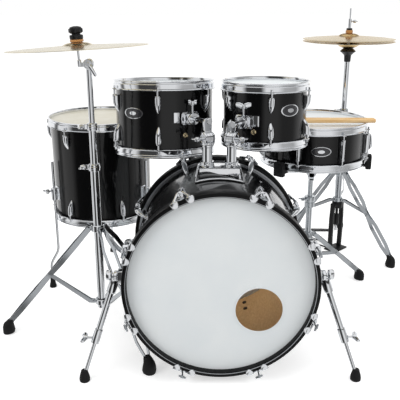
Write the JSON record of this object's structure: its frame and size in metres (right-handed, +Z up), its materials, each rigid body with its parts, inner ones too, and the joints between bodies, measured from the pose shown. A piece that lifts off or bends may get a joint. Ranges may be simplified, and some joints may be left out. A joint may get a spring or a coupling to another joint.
{
  "type": "drum kit",
  "caption": "Acoustic drum kit: bass drum with hung toms, floor tom, snare drum on its stand, hi-hat with pedal, crash cymbal on a tilting stand, kick pedal and sticks.",
  "frame": {"origin": "on the floor, below the middle of the kit's bounding box", "axes": "+Z up, +X to the right as the audience sees the kit and along its longest side, +Y away from the audience towards the drummer"},
  "size_m": [1.4414, 1.2998, 0.999],
  "materials": {
    "lacquered_wood": "gloss",
    "chrome": "polished",
    "bronze": "satin",
    "drum_film": "satin",
    "black_metal": "satin",
    "hickory": "satin",
    "rubber": "matte",
    "felt": "matte",
    "black_plastic": "satin",
    "bare_wood": "satin"
  },
  "bodies": {
    "kit": {"bass_shell": "lacquered_wood", "bass_front_head": "drum_film", "bass_batter_head": "drum_film", "bass_front_hoop": "lacquered_wood", "bass_rear_hoop": "lacquered_wood", "tom_saddle": "chrome", "pedal_frame": "black_metal", "floor_tom_shell": "lacquered_wood", "floor_tom_top_hoop": "chrome", "floor_tom_batter_head": "drum_film", "floor_tom_bottom_hoop": "chrome", "floor_tom_resonant_head": "drum_film", "snare_stand_base": "chrome", "hi_hat_base": "chrome", "cymbal_stand_base": "chrome"},
    "left_spur": {"left_spur_tube": "chrome"},
    "left_spur_rod": {"left_spur_foot": "chrome"},
    "right_spur": {"right_spur_tube": "chrome"},
    "right_spur_rod": {"right_spur_foot": "chrome"},
    "left_post": {"left_tom_post": "chrome"},
    "left_ratchet": {"left_tom_ratchet_head": "chrome"},
    "left_arm": {"left_tom_arm": "chrome"},
    "left_tom": {"left_tom_shell": "lacquered_wood", "left_tom_top_hoop": "chrome", "left_tom_batter_head": "drum_film", "left_tom_bottom_hoop": "chrome", "left_tom_resonant_head": "drum_film"},
    "right_post": {"right_tom_post": "chrome"},
    "right_ratchet": {"right_tom_ratchet_head": "chrome"},
    "right_arm": {"right_tom_arm": "chrome"},
    "right_tom": {"right_tom_shell": "lacquered_wood", "right_tom_top_hoop": "chrome", "right_tom_batter_head": "drum_film", "right_tom_bottom_hoop": "chrome", "right_tom_resonant_head": "drum_film"},
    "footboard": {"pedal_footboard": "black_metal"},
    "beater": {"pedal_beater": "chrome"},
    "floor_leg_1": {"floor_tom_leg_1": "chrome"},
    "floor_leg_2": {"floor_tom_leg_2": "chrome"},
    "floor_leg_3": {"floor_tom_leg_3": "chrome"},
    "snare_neck": {"snare_stand_neck": "chrome"},
    "snare_basket": {"snare_stand_basket": "chrome", "snare_shell": "lacquered_wood", "snare_top_hoop": "chrome", "snare_batter_head": "drum_film", "snare_bottom_hoop": "chrome", "snare_resonant_head": "drum_film", "snare_wires": "chrome", "drumstick_1": "hickory", "drumstick_2": "hickory"},
    "strainer_lever": {"snare_strainer_lever": "chrome"},
    "hi_hat_tube": {"hi_hat_upper_tube": "chrome", "hi_hat_bottom_cymbal": "bronze"},
    "hi_hat_pull_rod": {"hi_hat_rod": "chrome", "hi_hat_top_cymbal": "bronze"},
    "hi_hat_pedal": {"hi_hat_footboard": "black_metal"},
    "stand_middle": {"cymbal_stand_middle_tube": "chrome"},
    "stand_upper": {"cymbal_stand_upper_tube": "chrome"},
    "tilter": {"cymbal_tilter": "chrome"},
    "crash": {"crash_cymbal": "bronze"}
  },
  "joints": [
    {"name": "left_spur_fold", "type": "hinge", "parent": "kit", "child": "left_spur", "pos_m": [-0.31444, -0.5165, 0.2827], "axis": [-1, 0, 0], "range_deg": [0, 75]},
    {"name": "left_spur_extend", "type": "slide", "parent": "left_spur", "child": "left_spur_rod", "axis": [-0.3018, -0.3214, -0.8976], "range_m": [-0.055, 0.04]},
    {"name": "left_post_height", "type": "slide", "parent": "kit", "child": "left_post", "axis": [0, 0.0209, 0.9998], "range_m": [0, 0.06]},
    {"name": "left_tom_swivel", "type": "hinge", "parent": "left_post", "child": "left_ratchet", "pos_m": [-0.05044, -0.40534, 0.28937], "axis": [0, 0.0209, 0.9998], "range_deg": [-2, 12]},
    {"name": "left_tom_tilt", "type": "hinge", "parent": "left_ratchet", "child": "left_arm", "pos_m": [-0.05044, -0.39757, 0.66029], "axis": [-0.848, -0.5298, 0.0111], "range_deg": [-16, 3]},
    {"name": "left_tom_reach", "type": "slide", "parent": "left_arm", "child": "left_tom", "axis": [-0.5292, 0.8456, -0.0701], "range_m": [0, 0.025]},
    {"name": "right_spur_fold", "type": "hinge", "parent": "kit", "child": "right_spur", "pos_m": [0.28356, -0.5165, 0.2827], "axis": [-1, 0, 0], "range_deg": [0, 75]},
    {"name": "right_spur_extend", "type": "slide", "parent": "right_spur", "child": "right_spur_rod", "axis": [0.3018, -0.3214, -0.8976], "range_m": [-0.055, 0.04]},
    {"name": "right_post_height", "type": "slide", "parent": "kit", "child": "right_post", "axis": [0, 0.0209, 0.9998], "range_m": [0, 0.06]},
    {"name": "right_tom_swivel", "type": "hinge", "parent": "right_post", "child": "right_ratchet", "pos_m": [0.01956, -0.40534, 0.28937], "axis": [0, 0.0209, 0.9998], "range_deg": [-40, 2]},
    {"name": "right_tom_tilt", "type": "hinge", "parent": "right_ratchet", "child": "right_arm", "pos_m": [0.01956, -0.39757, 0.66029], "axis": [-0.8443, 0.5357, -0.0112], "range_deg": [-30, 4]},
    {"name": "right_tom_reach", "type": "slide", "parent": "right_arm", "child": "right_tom", "axis": [0.5358, 0.8438, -0.0299], "range_m": [0, 0.005]},
    {"name": "footboard_press", "type": "hinge", "parent": "kit", "child": "footboard", "pos_m": [-0.01544, 0.10164, 0.012], "axis": [1, 0, 0], "range_deg": [0, 13]},
    {"name": "beater_swing", "type": "hinge", "parent": "kit", "child": "beater", "pos_m": [-0.01544, -0.14036, 0.1], "axis": [1, 0, 0], "range_deg": [0, 46.8], "stiffness_Nm_per_rad": 0.6, "springref_deg": -57.3},
    {"name": "floor_leg_1_height", "type": "slide", "parent": "kit", "child": "floor_leg_1", "axis": [0, 0, 1], "range_m": [-0.06, 0.12]},
    {"name": "floor_leg_2_height", "type": "slide", "parent": "kit", "child": "floor_leg_2", "axis": [0, 0, 1], "range_m": [-0.06, 0.12]},
    {"name": "floor_leg_3_height", "type": "slide", "parent": "kit", "child": "floor_leg_3", "axis": [0, 0, 1], "range_m": [-0.06, 0.12]},
    {"name": "snare_height", "type": "slide", "parent": "kit", "child": "snare_neck", "axis": [0, 0, 1], "range_m": [-0.06, 0.06]},
    {"name": "snare_tilt", "type": "hinge", "parent": "snare_neck", "child": "snare_basket", "pos_m": [0.33156, 0.02771, 0.44], "axis": [0, 1, 0], "range_deg": [-2, 12]},
    {"name": "strainer_throw", "type": "hinge", "parent": "snare_basket", "child": "strainer_lever", "pos_m": [0.52557, 0.02195, 0.58], "axis": [-0.0297, -0.9996, 0], "range_deg": [0, 90]},
    {"name": "hi_hat_height", "type": "slide", "parent": "kit", "child": "hi_hat_tube", "axis": [0, 0, 1], "range_m": [-0.1, 0]},
    {"name": "hi_hat_board_press", "type": "hinge", "parent": "kit", "child": "hi_hat_pedal", "pos_m": [0.34267, 0.54566, 0.02], "axis": [0.7193, 0.6947, 0], "range_deg": [0, 1.95]},
    {"name": "hi_hat_close", "type": "slide", "parent": "kit", "child": "hi_hat_pull_rod", "axis": [0, 0, 1], "range_m": [-0.00745, 0], "stiffness_N_per_m": 1500, "springref_m": 0.02},
    {"name": "stand_middle_height", "type": "slide", "parent": "kit", "child": "stand_middle", "axis": [0, 0, 1], "range_m": [-0.06, 0.1]},
    {"name": "stand_upper_height", "type": "slide", "parent": "stand_middle", "child": "stand_upper", "axis": [0, 0, 1], "range_m": [-0.06, 0.07]},
    {"name": "cymbal_tilt", "type": "hinge", "parent": "stand_upper", "child": "tilter", "pos_m": [-0.39244, -0.31725, 0.862], "axis": [0, 1, 0], "range_deg": [-40, 25]},
    {"name": "crash_rock", "type": "hinge", "parent": "tilter", "child": "crash", "pos_m": [-0.42158, -0.32325, 0.93089], "axis": [0, 1, 0], "range_deg": [-3, 3]}
  ],
  "couplings": [
    {"joint": "footboard_press", "follows": "beater_swing", "ratio": 0.27778},
    {"joint": "hi_hat_board_press", "follows": "hi_hat_close", "rad_per_m": -4.4523}
  ]
}
